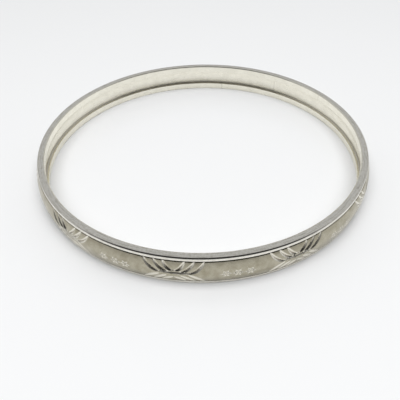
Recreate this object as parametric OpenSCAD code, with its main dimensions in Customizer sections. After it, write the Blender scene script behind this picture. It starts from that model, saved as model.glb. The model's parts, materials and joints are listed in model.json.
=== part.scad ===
// Closed slip-on bangle bracelet.
// Two rebated rim wires hold a domed, engraved band between them.
// Solder closes the three rings and joins them.
// The ring's axis is Z, the lower rim rests on z = 0, and lengths are in millimetres.

/* [Ring] */
// Clear diameter that the hand passes through
inner_d = 63; // [52:0.5:78]
// Width of the bangle along its axis
height = 6; // [5:0.1:9]

/* [Rims] */
// Radial thickness of a rim wire
rim_t = 1.4; // [1.3:0.05:2]
// Whole height of a rim wire, the lip and the seat behind the band together
rim_h = 1.4; // [1.1:0.05:1.8]
// Height of the rim's lip, which covers the band's edge
lip_h = 0.65; // [0.6:0.05:0.9]
// Radius of the rim's outer top corner
lip_outer_round = 0.35; // [0.2:0.05:0.5]
// Radius of the rim's inner top corner
lip_inner_round = 0.2; // [0.2:0.05:0.5]

/* [Band] */
// Thickness of the band where it sits on the rims
band_t = 0.8; // [0.65:0.05:0.95]
// Rise of the outer face's dome above the rims
dome_rise = 0.5; // [0.15:0.05:0.6]
// Depth of the hollow on the band's inner face
hollow_depth = 0.3; // [0.1:0.05:0.35]

/* [Engraving] */
// Number of fan motifs round the band
motif_count = 10; // [6:1:12]
// Angle of the first fan from the front of the ring
motif_start = -8.5; // [-18:0.5:18]
// Where the fan's upper strokes start, left and right of its middle
fan_top = [1.8, 3.3, 5.0]; // [0.5:0.1:5.5]
// Where the fan's upper strokes end, next to its waist
fan_waist = [0.4, 1.1, 2.4]; // [0.1:0.1:3]
// Where the fan's lower strokes start, next to its waist
fan_root = [0.4, 1.6, 2.9]; // [0.1:0.1:3]
// Where the fan's lower strokes end, left and right of its middle
fan_foot = [1.8, 3.3, 4.9]; // [0.5:0.1:5.5]
// Plain margin between the fan and the edges of the band
fan_margin = 0.25; // [0.1:0.05:0.5]
// How far an upper stroke bows from straight
upper_bow = 0.45; // [0.2:0.05:0.6]
// How far a lower stroke bows from straight
lower_bow = 0.3; // [0.2:0.05:0.4]
// Depth of a stroke at its middle
cut_depth = 0.2; // [0.14:0.02:0.26]
// Width of a stroke at its middle
cut_w = 0.45; // [0.3:0.05:0.6]
// Florets in the group between two fans
floret_count = 3; // [1:1:3]
// Distance from one floret to the next
floret_pitch = 2; // [1.4:0.1:2.4]
// Diameter of the dimple at a floret's heart
floret_d = 1.2; // [0.7:0.05:1.3]

/* [Solder] */
// Width of the solder in a butt seam
seam_w = 0.12; // [0.08:0.02:0.2]
// Which fan the band's seam comes after, counted from the first
seam_after = 4; // [0:1:5]
// Angle between the band's seam and the seam of each rim
seam_stagger = 24; // [10:1:40]
// Leg of the solder fillet between the band and a rim's seat
fillet_leg = 0.3; // [0.15:0.05:0.4]

/* [Hidden] */
$fn = 96;

inner_r = inner_d / 2;
outer_r = inner_r + rim_t;
seat_r = outer_r - band_t;
mid_z = height / 2;

dome_r = arc_radius(height - 2 * lip_h, dome_rise);
dome_centre = outer_r + dome_rise - dome_r;
hollow_r = arc_radius(height - 2 * rim_h, hollow_depth);
hollow_centre = seat_r + hollow_depth - hollow_r;

crown_r = outer_r + dome_rise;
motif_step = 360 / motif_count;

// The seam runs midway between a fan's edge and the next group of florets
fan_edge = crown_angle(max(max(fan_top), max(fan_foot)));
florets_edge = motif_step / 2 - crown_angle((floret_count - 1) / 2 * floret_pitch + floret_d / 2);
seam_angle = motif_start + seam_after * motif_step + (fan_edge + florets_edge) / 2;

// Florets sit a little under the middle of the face
floret_z = mid_z - 0.3;
floret_depth = 0.12;

// Heights of the strokes' ends, and how much higher or lower the next stroke in starts
fan_top_z = height - lip_h - fan_margin;
fan_foot_z = lip_h + fan_margin;
waist_step = 0.3;
root_drop = 0.6;
root_step = 0.28;

// How far a stroke's ends lie above its middle, how far the cutter runs on, and its height over the metal
end_rise = 0.16;
run_out = 12;
cut_clear = 0.08;

// Radius of the arc that rises by rise over a chord
function arc_radius(chord, rise) = (chord * chord / 4 + rise * rise) / (2 * rise);

// Angle round the ring of a length along the crown
function crown_angle(length) = length / crown_r * 180 / PI;

// Section of the upper rim wire: the lip over the band's edge, and the seat behind it
module rim_section() {
    difference() {
        union() {
            translate([inner_r, height - lip_h]) square([rim_t, lip_h]);
            translate([inner_r, height - rim_h]) square([rim_t - band_t, rim_h]);
        }
        corner_waste(outer_r, lip_outer_round, -1);
        corner_waste(inner_r, lip_inner_round, 1);
    }
}

// What a round of radius r leaves outside the rim's top corner at radius x; side points into the metal
module corner_waste(x, r, side) {
    difference() {
        translate([x + side * r / 2, height - r / 2]) square(r, center = true);
        translate([x + side * r, height - r]) circle(r);
    }
}

// Section of the band: domed outside, hollowed inside between the two seats
module band_section() {
    difference() {
        intersection() {
            translate([seat_r, lip_h]) square([band_t + dome_rise, height - 2 * lip_h]);
            translate([dome_centre, mid_z]) circle(dome_r);
        }
        translate([hollow_centre, mid_z]) circle(hollow_r);
    }
}

// Section of the upper solder fillet, in the corner of the seat and the band's inner face
module fillet_section() {
    $fn = 720;
    difference() {
        translate([seat_r - fillet_leg, height - rim_h - fillet_leg])
            square([fillet_leg + hollow_depth, fillet_leg]);
        translate([seat_r - fillet_leg, height - rim_h - fillet_leg]) circle(fillet_leg);
        band_section();
    }
}

// Turns a section into a ring that stops short of a butt seam at the given angle
module open_ring(angle) {
    gap = seam_w / outer_r * 180 / PI;
    rotate([0, 0, angle - 90 + gap / 2]) rotate_extrude(angle = 360 - gap) children();
}

// Turns a section into the slice of solder that fills the seam
module seam_slice(angle) {
    gap = seam_w / outer_r * 180 / PI;
    rotate([0, 0, angle - 90 - gap / 2]) rotate_extrude(angle = gap) children();
}

// Places a cutter on the dome, x along the ring, y up the face and z out of it
module on_dome(angle, z) {
    rotate([0, 0, angle - 90])
        translate([dome_centre, 0, mid_z])
            rotate([0, -asin((z - mid_z) / dome_r), 0])
                translate([dome_r, 0, 0])
                    rotate([90, 0, 90]) children();
}

// V-shaped groove along an arc that bows towards -y
// It leans, so that its middle is deepest and its ends run out
module arc_cut(length, bow) {
    r = arc_radius(length, bow);
    sweep = 2 * asin(length / 2 / r) + 2 * run_out;
    top = cut_depth + cut_clear;
    flare = cut_w / 2 * top / cut_depth;
    translate([0, 0, -cut_depth])
        rotate([asin(end_rise / bow), 0, 0])
            translate([0, r, 0])
                rotate([0, 0, -90 - sweep / 2])
                    rotate_extrude(angle = sweep)
                        polygon([[r, 0], [r + flare, top], [r - flare, top]]);
}

// One stroke from a to b, each given as distance along the ring and height, bowing to the right of a-to-b
module stroke(motif_angle, a, b, bow) {
    run = b - a;
    middle = (a + b) / 2;
    on_dome(motif_angle + crown_angle(middle[0]), middle[1])
        rotate([0, 0, atan2(run[1], run[0])]) translate([0, bow / 2, 0]) arc_cut(norm(run), bow);
}

// Fan of nested upper strokes and splayed lower strokes, mirrored about its middle
module fan(angle) {
    for (i = [0 : len(fan_top) - 1]) {
        waist_z = mid_z + waist_step * (len(fan_top) - 1 - i);
        root_z = mid_z - root_drop - root_step * (len(fan_top) - 1 - i);
        stroke(angle, [-fan_top[i], fan_top_z], [-fan_waist[i], waist_z], upper_bow);
        stroke(angle, [fan_waist[i], waist_z], [fan_top[i], fan_top_z], upper_bow);
        stroke(angle, [-fan_root[i], root_z], [-fan_foot[i], fan_foot_z], lower_bow);
        stroke(angle, [fan_foot[i], fan_foot_z], [fan_root[i], root_z], lower_bow);
    }
}

// Row of florets, each punched with a round-nosed tool
module floret_group(angle) {
    punch_r = arc_radius(floret_d, floret_depth);
    for (i = [0 : floret_count - 1])
        on_dome(angle + crown_angle((i - (floret_count - 1) / 2) * floret_pitch), floret_z)
            translate([0, 0, punch_r - floret_depth]) sphere(punch_r);
}

module engraved_band() {
    color("#b3ac9c") difference() {
        open_ring(seam_angle) band_section();
        for (i = [0 : motif_count - 1]) {
            fan(motif_start + i * motif_step);
            floret_group(motif_start + (i + 0.5) * motif_step);
        }
    }
}

module upper_rim() {
    color("#d4d1c6") open_ring(seam_angle - seam_stagger) rim_section();
}

module lower_rim() {
    color("#d4d1c6") flipped() open_ring(seam_angle + seam_stagger) rim_section();
}

// Mirrors an upper piece down to the other edge of the ring
module flipped() {
    translate([0, 0, height]) mirror([0, 0, 1]) children();
}

module band_seam_solder() {
    color("#c9c3b2") seam_slice(seam_angle) band_section();
}

module upper_rim_seam_solder() {
    color("#c9c3b2") seam_slice(seam_angle - seam_stagger) rim_section();
}

module lower_rim_seam_solder() {
    color("#c9c3b2") flipped() seam_slice(seam_angle + seam_stagger) rim_section();
}

module upper_joint_solder() {
    color("#c9c3b2") rotate_extrude() fillet_section();
}

module lower_joint_solder() {
    color("#c9c3b2") flipped() rotate_extrude() fillet_section();
}

engraved_band();
upper_rim();
lower_rim();
band_seam_solder();
upper_rim_seam_solder();
lower_rim_seam_solder();
upper_joint_solder();
lower_joint_solder();
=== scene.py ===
import json
import math

import bpy
import numpy as np
from mathutils import Matrix, Vector


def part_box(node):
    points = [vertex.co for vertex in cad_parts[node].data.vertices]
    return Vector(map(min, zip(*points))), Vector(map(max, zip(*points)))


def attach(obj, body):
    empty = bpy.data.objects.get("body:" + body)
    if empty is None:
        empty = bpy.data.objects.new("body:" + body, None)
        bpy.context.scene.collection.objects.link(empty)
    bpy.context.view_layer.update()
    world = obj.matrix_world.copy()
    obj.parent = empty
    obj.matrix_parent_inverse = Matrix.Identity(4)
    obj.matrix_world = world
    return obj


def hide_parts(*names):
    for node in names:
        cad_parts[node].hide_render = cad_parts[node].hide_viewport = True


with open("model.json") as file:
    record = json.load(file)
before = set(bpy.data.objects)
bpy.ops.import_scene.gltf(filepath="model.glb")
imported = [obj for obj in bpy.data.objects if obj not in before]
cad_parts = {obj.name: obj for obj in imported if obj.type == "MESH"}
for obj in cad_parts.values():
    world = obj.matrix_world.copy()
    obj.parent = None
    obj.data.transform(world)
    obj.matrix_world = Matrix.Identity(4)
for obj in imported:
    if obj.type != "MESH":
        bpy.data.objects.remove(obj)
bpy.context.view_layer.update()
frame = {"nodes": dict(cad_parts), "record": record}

MM = 0.001
RNG = np.random.default_rng(7)

# ---------------------------------------------------------------- sizes, in metres
# The frame gives the outer ones, and the section's own values are the same as in the CAD source.
mounts = {m["name"]: m for m in frame["record"]["mounts"]}
band_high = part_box("engraved_band")[1]
rim_low, rim_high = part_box("upper_rim")

INNER_R = mounts["wrist_opening"]["dims"]["r_mm"] * MM
HEIGHT = rim_high.z
MID_Z = HEIGHT / 2
LIP_H = HEIGHT - band_high.z
RIM_H = rim_high.z - rim_low.z
RIM_T = 1.4 * MM
OUTER_R = INNER_R + RIM_T
BAND_T = 0.8 * MM
SEAT_R = OUTER_R - BAND_T
DOME_RISE = 0.5 * MM
HOLLOW_DEPTH = 0.3 * MM
LIP_OUTER_ROUND = 0.35 * MM
LIP_INNER_ROUND = 0.2 * MM
CROWN_R = OUTER_R + DOME_RISE

# What only this model has: a fine line where the band meets the rims, and the rims' waviness in millimetres
EDGE_LINE_W = 0.14 * MM
EDGE_LINE_DEPTH = 0.1 * MM
RIM_WAVE = 0.006
SHARP_ANGLE = 32
BAND_TRIANGLES = 190_000

MOTIFS = 10
MOTIF_STEP = 360 / MOTIFS
MOTIF_START = -8.5
SEAM_W = 0.12 * MM
SEAM_GAP = math.degrees(SEAM_W / OUTER_R)

# ---------------------------------------------------------------- camera
CAMERA_DISTANCE = 110.8 * MM
CAMERA_ELEVATION = 37.02
CAMERA_PAN = 0.35
CAMERA_TILT = -4.10
CAMERA_ROLL = -0.91
LENS_MM = 47.16
SENSOR_MM = 36


def make_camera():
    """Stands in front of the ring, turned a little off its centre by the pan and tilt."""
    el, pan, tilt, roll = (math.radians(a) for a in (CAMERA_ELEVATION, CAMERA_PAN, CAMERA_TILT, CAMERA_ROLL))
    place = Vector((0, -math.cos(el), math.sin(el))) * CAMERA_DISTANCE
    forward = -place.normalized()
    right = Vector((1, 0, 0))
    up = right.cross(forward)
    ahead, lift = math.cos(pan) * math.cos(tilt), math.sin(tilt) * math.cos(pan)
    aim = forward * ahead - right * math.sin(pan) + up * lift
    aim.normalize()
    level = aim.cross(up).normalized()
    over = level.cross(aim)
    x_axis = level * math.cos(roll) + over * math.sin(roll)
    y_axis = over * math.cos(roll) - level * math.sin(roll)
    data = bpy.data.cameras.new("camera")
    data.sensor_width = SENSOR_MM
    data.lens = LENS_MM
    data.clip_start = 1 * MM
    data.clip_end = 20
    camera = bpy.data.objects.new("camera", data)
    camera.matrix_world = Matrix.Translation(place) @ Matrix((x_axis, y_axis, -aim)).transposed().to_4x4()
    bpy.context.scene.collection.objects.link(camera)
    bpy.context.scene.camera = camera


# ---------------------------------------------------------------- geometry helpers
def on_ring(radius, angle, z):
    """Points at an angle in degrees from the front, positive to the right seen from the front."""
    a = np.radians(angle)
    return np.stack([radius * np.sin(a), -radius * np.cos(a), z], -1)


def arc_radius(chord, rise):
    return (chord * chord / 4 + rise * rise) / (2 * rise)


def arc_points(centre, radius, start, end, count):
    """Points of a section along an arc, as (radius, z) pairs; the angles are in degrees."""
    a = np.radians(np.linspace(start, end, count))
    return np.stack([centre[0] + radius * np.cos(a), centre[1] + radius * np.sin(a)], -1)


def line_points(start, end, step):
    """Points of a section along a straight stretch, without its last one."""
    start, end = np.array(start), np.array(end)
    count = max(1, round(float(np.linalg.norm(end - start)) / step))
    t = np.linspace(0, 1, count, endpoint=False)[:, None]
    return start + (end - start) * t


def swept_mesh(name, grid, strip, material_index):
    """A capped open ring from a grid of points: columns go round the ring, and rows go round the section."""
    columns, rows = grid.shape[:2]
    index = np.arange(columns * rows).reshape(columns, rows)
    here, ahead = index[:-1], index[1:]
    quads = np.stack([here, ahead, np.roll(ahead, -1, 1), np.roll(here, -1, 1)], -1).reshape(-1, 4)
    faces = quads.tolist() + [index[0].tolist(), index[-1][::-1].tolist()]
    mesh = bpy.data.meshes.new(name)
    mesh.from_pydata(grid.reshape(-1, 3), [], faces)
    attribute = mesh.attributes.new("strip", "FLOAT_VECTOR", "POINT")
    attribute.data.foreach_set("vector", strip.reshape(-1).astype(np.float32))
    slots = np.tile(material_index, len(here))
    slots = np.concatenate([slots, np.zeros(len(faces) - len(slots), int)]).astype(np.int32)
    mesh.polygons.foreach_set("material_index", slots)
    mesh.shade_smooth()
    mesh.update()
    piece = bpy.data.objects.new(name, mesh)
    bpy.context.scene.collection.objects.link(piece)
    return piece


def strip_coordinates(angle, section):
    """Distances round the ring and round the section in millimetres, for grain that follows the metal."""
    steps = np.linalg.norm(np.roll(section, -1, 0) - section, axis=1)
    along = np.concatenate([[0], np.cumsum(steps)[:-1]]) / MM
    around = np.radians(angle) * OUTER_R / MM
    a, s = np.meshgrid(around, along, indexing="ij")
    return np.stack([a, s, np.zeros_like(a)], -1)


# ---------------------------------------------------------------- engraving
FACE_STEP = 0.065 * MM

# Millimetres along and up the face. The strokes' ends lie within about 0.3 mm of the CAD's.
FAN_TOP = (1.8, 3.3, 5.0)
FAN_WAIST = (0.3, 1.1, 2.4)
FAN_ROOT = (0.2, 1.3, 2.6)
FAN_FOOT = (1.9, 3.4, 5.0)
FAN_MARGIN = 0.2
WAIST_STEP = 0.3
ROOT_DROP = 0.52
ROOT_STEP = 0.28
UPPER_LIFT = 0.04
KEEL_RUN = 0.5
KEEL_HEIGHTS = (0.06, -0.14, -0.04)
FLORET_PITCH = 2.0
FLORET_DROP = 0.3
PETAL_STEP = 60
PETAL_REACH = (0.3, 0.5, 0.72)
HEART_HALF = 0.03

# Spread of the random offsets in millimetres, and of a floret's random turn in degrees
STROKE_WOBBLE = 0.05
FLORET_WOBBLE = 0.08
FLORET_TURN = 5

# A cut's half width, depth and bevel, the share of the half width by which its deepest line is off its middle
UPPER_CUT = (0.37, 0.25, 0.12)
LOWER_CUT = (0.36, 0.15, 0.2)
KEEL_CUT = (0.26, 0.2, 0.2)
PETAL_CUT = (0.2, 0.12, 0)
HEART_CUT = (0.15, 0.12, 0)

# How a cut narrows and shallows to its ends, and the burr that it throws up beside it
TIP_SHARE = 0.2
TAPER_POWER = 0.4
BURR_H = 0.012
BURR_W = 0.05
BURR_PLACE = 1.08
CUT_REACH = 0.5


def bezier(a, b, c):
    t = np.linspace(0, 1, 20)[:, None]
    return (1 - t) ** 2 * np.array(a) + 2 * t * (1 - t) * np.array(b) + t * t * np.array(c)


def cut(curve, size, side=1):
    """A cut along a curve, with its bevel turned to the given side."""
    half_width, depth, bevel = size
    return curve, half_width, depth, side * bevel


def fan_strokes():
    """One fan's strokes as (curve, half width, depth, bevel), in millimetres along and up the face."""
    mid = MID_Z / MM
    top = (HEIGHT - LIP_H) / MM - FAN_MARGIN
    foot = LIP_H / MM + FAN_MARGIN
    strokes = []
    for side in (-1, 1):
        for i in range(3):
            wobble = RNG.normal(0, STROKE_WOBBLE, 6)
            waist = mid + WAIST_STEP * (2 - i)
            start = (side * FAN_TOP[i] + wobble[0], top)
            bend = (side * (FAN_TOP[i] * 0.5 + FAN_WAIST[i] * 0.5), waist + UPPER_LIFT)
            end = (side * FAN_WAIST[i] + wobble[1], waist + wobble[2] / 2)
            strokes.append(cut(bezier(start, bend, end), UPPER_CUT, side))
            root = mid - ROOT_DROP - ROOT_STEP * (2 - i)
            start = (side * FAN_ROOT[i] + wobble[3], root + wobble[4])
            bend = (side * (FAN_ROOT[i] * 0.45 + FAN_FOOT[i] * 0.55), foot + 0.6 * (root - foot))
            end = (side * FAN_FOOT[i] + wobble[5], foot)
            strokes.append(cut(bezier(start, bend, end), LOWER_CUT, side))
    keel_end = FAN_WAIST[2] + KEEL_RUN
    keel = [(x, mid + rise) for x, rise in zip((-keel_end, 0, keel_end), KEEL_HEIGHTS)]
    strokes.append(cut(bezier(*keel), KEEL_CUT))
    return strokes


def floret_strokes():
    """Three florets, each of six petals round a dot."""
    z = MID_Z / MM - FLORET_DROP
    strokes = []
    for k in (-1, 0, 1):
        middle = np.array((k * FLORET_PITCH + RNG.normal(0, FLORET_WOBBLE), z))
        for angle in np.radians(np.arange(0, 360, PETAL_STEP) + RNG.normal(0, FLORET_TURN)):
            outward = np.array((np.cos(angle), np.sin(angle)))
            strokes.append(cut(middle + np.outer(PETAL_REACH, outward), PETAL_CUT))
        strokes.append(cut(middle + np.array([(-HEART_HALF, 0), (HEART_HALF, 0)]), HEART_CUT))
    return strokes


def cut_field(u, z, strokes):
    """Depth of cut and how bright each point is cut, from the distance to every stroke."""
    depth, bright, burr = np.zeros_like(u), np.zeros_like(u), np.zeros_like(u)
    for curve, half_width, deep, bevel in strokes:
        low, high = curve.min(0) - CUT_REACH, curve.max(0) + CUT_REACH
        near = np.where((u > low[0]) & (u < high[0]) & (z > low[1]) & (z < high[1]))
        p = np.stack([u[near], z[near]], -1)
        best, where, beside = np.full(len(p), np.inf), np.zeros(len(p)), np.zeros(len(p))
        for k in range(len(curve) - 1):
            a, d = curve[k], curve[k + 1] - curve[k]
            t = np.clip(((p - a) @ d) / (d @ d), 0, 1)
            away = p - a - t[:, None] * d
            gap = np.hypot(*away.T)
            closer = gap < best
            best = np.where(closer, gap, best)
            where = np.where(closer, (k + t) / (len(curve) - 1), where)
            beside = np.where(closer, (d[0] * away[:, 1] - d[1] * away[:, 0]) / np.hypot(*d), beside)
        taper = np.sin(np.pi * np.clip(where, 0.02, 0.98)) ** TAPER_POWER
        width = half_width * (TIP_SHARE + (1 - TIP_SHARE) * taper)
        across = np.clip(beside / width, -1, 1) * np.clip(best / (np.abs(beside) + 1e-6), 1, 9)
        wall = np.where(across > bevel, (1 - across) / (1 - bevel), (1 + across) / (1 + bevel))
        wall = np.clip(np.minimum(wall, 1), 0, 1)
        depth[near] = np.maximum(depth[near], deep * taper * wall)
        bright[near] = np.maximum(bright[near], np.clip(wall * 6, 0, 1))
        edge = BURR_H * taper * np.exp(-(((best - width * BURR_PLACE) / BURR_W) ** 2))
        burr[near] = np.maximum(burr[near], edge)
    return depth - burr * (bright < 0.3), bright


# ---------------------------------------------------------------- pieces
def seam_angle(node):
    """Angle of a seam's solder from the front, in degrees, positive to the right."""
    low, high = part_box(node)
    middle = (low + high) / 2
    return math.degrees(math.atan2(middle.x, -middle.y))


def make_band():
    """The domed band: fans and florets cut in its face, and a hollow inside between the two rim seats."""
    face_h = HEIGHT - 2 * LIP_H
    dome_r = arc_radius(face_h, DOME_RISE)
    dome_c = CROWN_R - dome_r
    lean = math.degrees(math.asin(face_h / 2 / dome_r))
    rows = round(face_h / FACE_STEP)
    face = arc_points((dome_c, MID_Z), dome_r, -lean, lean, rows)
    hollow_h = HEIGHT - 2 * RIM_H
    hollow_r = arc_radius(hollow_h, HOLLOW_DEPTH)
    hollow_lean = math.degrees(math.asin(hollow_h / 2 / hollow_r))
    hollow_c = SEAT_R + HOLLOW_DEPTH - hollow_r
    hollow = arc_points((hollow_c, MID_Z), hollow_r, hollow_lean, -hollow_lean, 21)
    top_z, base_z = HEIGHT - LIP_H, LIP_H
    inside = np.concatenate([
        line_points((OUTER_R, top_z), (SEAT_R, top_z), 0.25 * MM)[1:],
        line_points((SEAT_R, top_z), (SEAT_R, HEIGHT - RIM_H), 0.4 * MM),
        hollow,
        line_points((SEAT_R, RIM_H), (SEAT_R, base_z), 0.4 * MM)[1:],
        line_points((SEAT_R, base_z), (OUTER_R, base_z), 0.25 * MM),
    ])
    section = np.concatenate([face, inside])
    columns = round(2 * math.pi * CROWN_R / FACE_STEP)
    seam = seam_angle("band_seam_solder")
    angle = np.linspace(seam + SEAM_GAP / 2, seam + 360 - SEAM_GAP / 2, columns)

    u = np.repeat(angle[:, None], rows, 1)
    z = np.repeat(face[None, :, 1] / MM, columns, 0)
    depth, bright = np.zeros_like(u), np.zeros_like(u)
    to_mm = math.radians(1) * CROWN_R / MM
    for i in range(MOTIFS):
        for offset, strokes in ((0, fan_strokes()), (MOTIF_STEP / 2, floret_strokes())):
            centre = MOTIF_START + i * MOTIF_STEP + offset
            away = (u - centre + 180) % 360 - 180
            d, b = cut_field(away * to_mm, z, strokes)
            depth, bright = np.where(np.abs(d) > np.abs(depth), d, depth), np.maximum(bright, b)

    from_edge = np.minimum(top_z - face[:, 1], face[:, 1] - base_z)
    chamfer = np.clip(1 - from_edge / EDGE_LINE_W, 0, 1) * EDGE_LINE_DEPTH / MM
    depth = np.maximum(depth, chamfer[None])
    outward = np.stack([face[:, 0] - dome_c, face[:, 1] - MID_Z], -1) / dome_r
    cut_face = face[None] - outward[None] * (depth * MM)[..., None]
    whole = np.concatenate([cut_face, np.repeat(inside[None], columns, 0)], 1)
    grid = on_ring(whole[..., 0], angle[:, None], whole[..., 1])
    slots = np.where(np.arange(len(section)) < rows - 1, 0, 1)
    band = swept_mesh("engraved_band_skin", grid, strip_coordinates(angle, section), slots)
    bright_all = np.concatenate([bright, np.zeros((columns, len(inside)))], 1)
    depth_all = np.concatenate([depth, np.zeros((columns, len(inside)))], 1)
    for name, values in (("bright_cut", bright_all), ("cut_depth", depth_all)):
        attribute = band.data.attributes.new(name, "FLOAT", "POINT")
        attribute.data.foreach_set("value", values.reshape(-1).astype(np.float32))
    thin_out(band, BAND_TRIANGLES)
    finish_piece(band, "engraved_band")
    return band


def thin_out(piece, triangles):
    """Merges triangles where the surface is plain, so that the cuts keep the fine ones."""
    now = sum(len(p.vertices) - 2 for p in piece.data.polygons)
    modifier = piece.modifiers.new("thin_out", "DECIMATE")
    modifier.ratio = triangles / now
    bpy.context.view_layer.update()
    mesh = bpy.data.meshes.new_from_object(piece.evaluated_get(bpy.context.evaluated_depsgraph_get()))
    piece.modifiers.clear()
    piece.data = mesh


def finish_piece(piece, node):
    piece.data.set_sharp_from_angle(angle=math.radians(SHARP_ANGLE))
    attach(piece, "root")
    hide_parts(node)


def rim_section():
    """The upper rim wire's section: up its outside, over the top, down its inside and back along its seat."""
    top = HEIGHT
    flat_start, flat_end = OUTER_R - LIP_OUTER_ROUND, INNER_R + LIP_INNER_ROUND
    round_points = 9
    return np.concatenate([
        line_points((OUTER_R, top - LIP_H), (OUTER_R, top - LIP_OUTER_ROUND), 0.1 * MM),
        arc_points((flat_start, top - LIP_OUTER_ROUND), LIP_OUTER_ROUND, 0, 90, round_points),
        line_points((flat_start, top), (flat_end, top), 0.14 * MM)[1:],
        arc_points((flat_end, top - LIP_INNER_ROUND), LIP_INNER_ROUND, 90, 180, round_points),
        line_points((INNER_R, top - LIP_INNER_ROUND), (INNER_R, top - RIM_H), 0.25 * MM)[1:],
        line_points((INNER_R, top - RIM_H), (SEAT_R, top - RIM_H), 0.3 * MM),
        line_points((SEAT_R, top - RIM_H), (SEAT_R, top - LIP_H), 0.38 * MM),
        line_points((SEAT_R, top - LIP_H), (OUTER_R, top - LIP_H), 0.4 * MM),
    ])


def make_rim(node, name, seam, flipped):
    """A rim wire with the slight waviness that hand polishing leaves."""
    section = rim_section()
    columns = 900
    angle = np.linspace(seam + SEAM_GAP / 2, seam + 360 - SEAM_GAP / 2, columns)
    r = np.repeat(section[None, :, 0], columns, 0)
    z = np.repeat(section[None, :, 1], columns, 0)
    a = np.radians(angle)[:, None]
    wave = 0
    for k in range(3, 24):
        wave_height = RNG.normal(0, RIM_WAVE / k**0.5) * MM
        wave = wave + wave_height * np.sin(k * a + RNG.uniform(0, 6.3))
    lip = np.clip((z - (HEIGHT - LIP_OUTER_ROUND)) / LIP_OUTER_ROUND, 0, 1)
    z = z - np.abs(wave) * lip
    r = r - np.abs(wave) * lip * 0.5 * np.sign(r - (INNER_R + OUTER_R) / 2)
    if flipped:
        z = HEIGHT - z
        r, z, section = r[:, ::-1], z[:, ::-1], section[::-1]
    grid = on_ring(r, angle[:, None], z)
    middle_r = (section[:, 0] + np.roll(section[:, 0], -1)) / 2
    slots = np.where(middle_r < INNER_R + LIP_INNER_ROUND, 1, 0)
    rim = swept_mesh(name, grid, strip_coordinates(angle, section), slots)
    finish_piece(rim, node)
    return rim


# ---------------------------------------------------------------- material helpers
def new_material(name):
    material = bpy.data.materials.new(name)
    material.use_nodes = True
    nodes = material.node_tree.nodes
    return material, nodes, material.node_tree.links, nodes["Principled BSDF"]


def attribute_node(nodes, name):
    node = nodes.new("ShaderNodeAttribute")
    node.attribute_name = name
    return node


def noise(nodes, links, vector, scale, detail=3.0, roughness=0.55, stretch=None):
    """A noise texture on a vector, squeezed by stretch along each axis where that is given."""
    if stretch is not None:
        mapping = nodes.new("ShaderNodeMapping")
        mapping.inputs["Scale"].default_value = stretch
        links.new(vector, mapping.inputs["Vector"])
        vector = mapping.outputs["Vector"]
    node = nodes.new("ShaderNodeTexNoise")
    node.inputs["Scale"].default_value = scale
    node.inputs["Detail"].default_value = detail
    node.inputs["Roughness"].default_value = roughness
    links.new(vector, node.inputs["Vector"])
    return node.outputs["Fac"]


def spread(nodes, links, value, low, high, to_low, to_high):
    """Maps low..high to to_low..to_high, clamped."""
    node = nodes.new("ShaderNodeMapRange")
    for name, number in (("From Min", low), ("From Max", high), ("To Min", to_low), ("To Max", to_high)):
        node.inputs[name].default_value = number
    links.new(value, node.inputs["Value"])
    return node.outputs["Result"]


def mix_colour(nodes, links, factor, a, b):
    node = nodes.new("ShaderNodeMix")
    node.data_type = "RGBA"
    links.new(factor, node.inputs["Factor"])
    for socket, colour in ((node.inputs[6], a), (node.inputs[7], b)):
        if isinstance(colour, tuple):
            socket.default_value = (*colour, 1)
        else:
            links.new(colour, socket)
    return node.outputs[2]


def mix_value(nodes, links, factor, a, b):
    node = nodes.new("ShaderNodeMix")
    links.new(factor, node.inputs["Factor"])
    for socket, value in ((node.inputs[2], a), (node.inputs[3], b)):
        if isinstance(value, (int, float)):
            socket.default_value = value
        else:
            links.new(value, socket)
    return node.outputs[0]


def math_node(nodes, links, operation, a, b):
    node = nodes.new("ShaderNodeMath")
    node.operation = operation
    for socket, value in ((node.inputs[0], a), (node.inputs[1], b)):
        if isinstance(value, (int, float)):
            socket.default_value = value
        else:
            links.new(value, socket)
    return node.outputs[0]


def bump(nodes, links, shader, height, distance):
    node = nodes.new("ShaderNodeBump")
    node.inputs["Distance"].default_value = distance
    node.inputs["Strength"].default_value = 1.0
    links.new(height, node.inputs["Height"])
    links.new(node.outputs["Normal"], shader.inputs["Normal"])


# ---------------------------------------------------------------- materials
MATTE_DARK = (0.375, 0.342, 0.255)
MATTE_PALE = (0.54, 0.505, 0.405)
MATTE_GRAIN = (0.28, 0.26, 0.19)
CUT_BRIGHT = (0.80, 0.77, 0.68)
# Colour at the bottom of the deepest cuts: the cuts are coloured darker with depth
CUT_DEEP_DARK = (0.40, 0.36, 0.29)
CUT_ROUGHNESS = 0.22
SATIN_PALE = (0.96, 0.93, 0.82)
SATIN_WORN = (0.90, 0.87, 0.76)
POLISHED = (0.90, 0.875, 0.81)
POLISHED_SCUFF = (0.78, 0.75, 0.68)
POLISHED_STREAK = (0.48, 0.46, 0.40)
SOLDER_DARK = (0.66, 0.62, 0.53)
SOLDER_PALE = (0.80, 0.77, 0.69)


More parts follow.
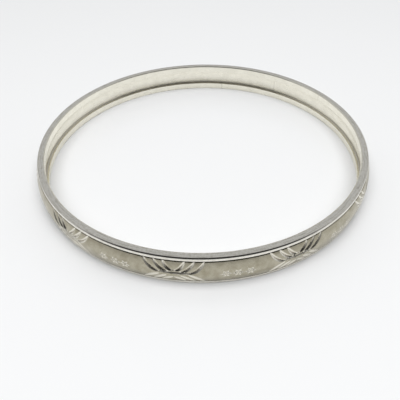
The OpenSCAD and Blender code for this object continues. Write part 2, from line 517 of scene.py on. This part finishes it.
def band_face_material():
    """Sandblasted silver, with polished cuts whose colour is made darker towards the bottom of the deeper
    ones.
    """
    material, nodes, links, shader = new_material("band_face")
    strip = attribute_node(nodes, "strip").outputs["Vector"]
    bright = attribute_node(nodes, "bright_cut").outputs["Fac"]
    depth = attribute_node(nodes, "cut_depth").outputs["Fac"]
    grain = noise(nodes, links, strip, 9, 4, 0.7)
    cloud = noise(nodes, links, strip, 0.55, 5, 0.62)
    lines = noise(nodes, links, strip, 14, 2, 0.5, (0.06, 1, 1))
    cloudy = spread(nodes, links, cloud, 0.35, 0.65, 0, 1)
    grainy = spread(nodes, links, grain, 0.35, 0.62, 0.35, 0)
    matte = mix_colour(nodes, links, cloudy, MATTE_DARK, MATTE_PALE)
    matte = mix_colour(nodes, links, grainy, matte, MATTE_GRAIN)
    # The cuts' colour is made darker with their depth, towards their bottoms
    deep_darkening = spread(nodes, links, depth, 0.12, 0.21, 0, 0.85)
    cut_colour = mix_colour(nodes, links, deep_darkening, CUT_BRIGHT, CUT_DEEP_DARK)
    links.new(mix_colour(nodes, links, bright, matte, cut_colour), shader.inputs["Base Color"])
    rough = spread(nodes, links, grain, 0.3, 0.7, 0.17, 0.27)
    links.new(mix_value(nodes, links, bright, rough, CUT_ROUGHNESS), shader.inputs["Roughness"])
    relief = mix_value(nodes, links, bright, grain, math_node(nodes, links, "MULTIPLY", lines, 0.35))
    bump(nodes, links, shader, relief, 0.012 * MM)
    shader.inputs["Metallic"].default_value = 1.0
    return material


def inner_material():
    """Satin silver, drawn along the ring, with faint cloudy patches left by wear."""
    material, nodes, links, shader = new_material("inner_satin")
    strip = attribute_node(nodes, "strip").outputs["Vector"]
    lines = noise(nodes, links, strip, 11, 3, 0.6, (0.04, 1, 1))
    cloud = noise(nodes, links, strip, 0.5, 3)
    base = mix_colour(nodes, links, spread(nodes, links, cloud, 0.4, 0.62, 0, 1), SATIN_PALE, SATIN_WORN)
    links.new(base, shader.inputs["Base Color"])
    links.new(spread(nodes, links, lines, 0.3, 0.7, 0.20, 0.30), shader.inputs["Roughness"])
    bump(nodes, links, shader, lines, 0.006 * MM)
    shader.inputs["Metallic"].default_value = 1.0
    return material


def rim_material():
    """Polished silver with hairline scratches along the wire and scuffs across it."""
    material, nodes, links, shader = new_material("rim_polished")
    strip = attribute_node(nodes, "strip").outputs["Vector"]
    hair = noise(nodes, links, strip, 16, 3, 0.6, (0.05, 1, 1))
    scuff = noise(nodes, links, strip, 2.2, 4, 0.65)
    streak = noise(nodes, links, strip, 5, 4, 0.6, (0.08, 1, 1))
    scuffed = spread(nodes, links, scuff, 0.4, 0.65, 0, 1)
    base = mix_colour(nodes, links, scuffed, POLISHED, POLISHED_SCUFF)
    streaked = spread(nodes, links, streak, 0.5, 0.66, 0, 0.6)
    base = mix_colour(nodes, links, streaked, base, POLISHED_STREAK)
    links.new(base, shader.inputs["Base Color"])
    links.new(spread(nodes, links, scuff, 0.35, 0.7, 0.12, 0.26), shader.inputs["Roughness"])
    bump(nodes, links, shader, hair, 0.005 * MM)
    shader.inputs["Metallic"].default_value = 1.0
    return material


def solder_material():
    """Silver solder: a little yellower and rougher than the wires."""
    material, nodes, links, shader = new_material("solder_satin")
    where = nodes.new("ShaderNodeTexCoord").outputs["Object"]
    pits = noise(nodes, links, where, 9000, 3, 0.6)
    base = mix_colour(nodes, links, spread(nodes, links, pits, 0.35, 0.65, 0, 1), SOLDER_DARK, SOLDER_PALE)
    links.new(base, shader.inputs["Base Color"])
    links.new(spread(nodes, links, pits, 0.3, 0.7, 0.28, 0.42), shader.inputs["Roughness"])
    bump(nodes, links, shader, pits, 0.006 * MM)
    shader.inputs["Metallic"].default_value = 1.0
    return material


# ---------------------------------------------------------------- surroundings
FLOOR_SIDE = 2.0
FLOOR_COLOUR = (0.90, 0.905, 0.91)
FLOOR_ROUGHNESS = 0.22
OVERHEAD_PLACE = (0, -0.25, 1.0)
OVERHEAD_SIZE = 1.1
OVERHEAD_WATTS = 11.7
DARK_SIDE = (0, -0.9, 0.436)
ROOM_PALE = (0.49, 0.495, 0.50)
ROOM_HORIZON = (0.30, 0.30, 0.30)
ROOM_DARK = (0.03, 0.03, 0.03)
# Cosines of the angle to DARK_SIDE between which the room darkens
DARK_FROM, DARK_TO = 0.22, 0.56
# Rise of the direction at which the horizon's grey ends
HORIZON_TOP = 0.3


def make_floor():
    """A wide, pale, slightly glossy table top."""
    mesh = bpy.data.meshes.new("floor")
    corners = [(x * FLOOR_SIDE, y * FLOOR_SIDE, 0) for x, y in ((-1, -1), (1, -1), (1, 1), (-1, 1))]
    mesh.from_pydata(corners, [], [(0, 1, 2, 3)])
    floor = bpy.data.objects.new("floor", mesh)
    bpy.context.scene.collection.objects.link(floor)
    material, _, _, shader = new_material("floor_white")
    shader.inputs["Base Color"].default_value = (*FLOOR_COLOUR, 1)
    shader.inputs["Roughness"].default_value = FLOOR_ROUGHNESS
    mesh.materials.append(material)


def make_overhead_light():
    """A wide soft light that lights the floor, and doesn't show in the metal's reflections."""
    data = bpy.data.lights.new("overhead", "AREA")
    data.size = OVERHEAD_SIZE
    data.energy = OVERHEAD_WATTS
    light = bpy.data.objects.new("overhead", data)
    light.location = OVERHEAD_PLACE
    light.rotation_euler = (-Vector(OVERHEAD_PLACE)).to_track_quat("-Z", "Y").to_euler()
    light.visible_glossy = False
    bpy.context.scene.collection.objects.link(light)


def make_room():
    """A pale room with a dark side behind the viewer, as polished edges show."""
    world = bpy.data.worlds.new("room")
    bpy.context.scene.world = world
    world.use_nodes = True
    nodes, links = world.node_tree.nodes, world.node_tree.links
    direction = nodes.new("ShaderNodeTexCoord").outputs["Generated"]
    towards = nodes.new("ShaderNodeVectorMath")
    towards.operation = "DOT_PRODUCT"
    towards.inputs[1].default_value = DARK_SIDE
    links.new(direction, towards.inputs[0])
    dark = spread(nodes, links, towards.outputs["Value"], DARK_FROM, DARK_TO, 0, 1)
    parts = nodes.new("ShaderNodeSeparateXYZ")
    links.new(direction, parts.inputs[0])
    above = spread(nodes, links, parts.outputs["Z"], 0, HORIZON_TOP, 0, 1)
    room = mix_colour(nodes, links, dark, ROOM_PALE, ROOM_DARK)
    links.new(mix_colour(nodes, links, above, ROOM_HORIZON, room), nodes["Background"].inputs["Color"])
    nodes["Background"].inputs["Strength"].default_value = 1.0


# ---------------------------------------------------------------- build
make_camera()
face, inner, polished, solder = band_face_material(), inner_material(), rim_material(), solder_material()

band = make_band()
for material in (face, inner):
    band.data.materials.append(material)

upper_rim = make_rim("upper_rim", "upper_rim_wire", seam_angle("upper_rim_seam_solder"), False)
lower_rim = make_rim("lower_rim", "lower_rim_wire", seam_angle("lower_rim_seam_solder"), True)
for rim in (upper_rim, lower_rim):
    for material in (polished, inner):
        rim.data.materials.append(material)

for name, node in frame["nodes"].items():
    if name.endswith("_solder"):
        for slot in node.material_slots:
            slot.material = solder

make_floor()
make_overhead_light()
make_room()
bpy.context.scene.view_settings.view_transform = "Standard"
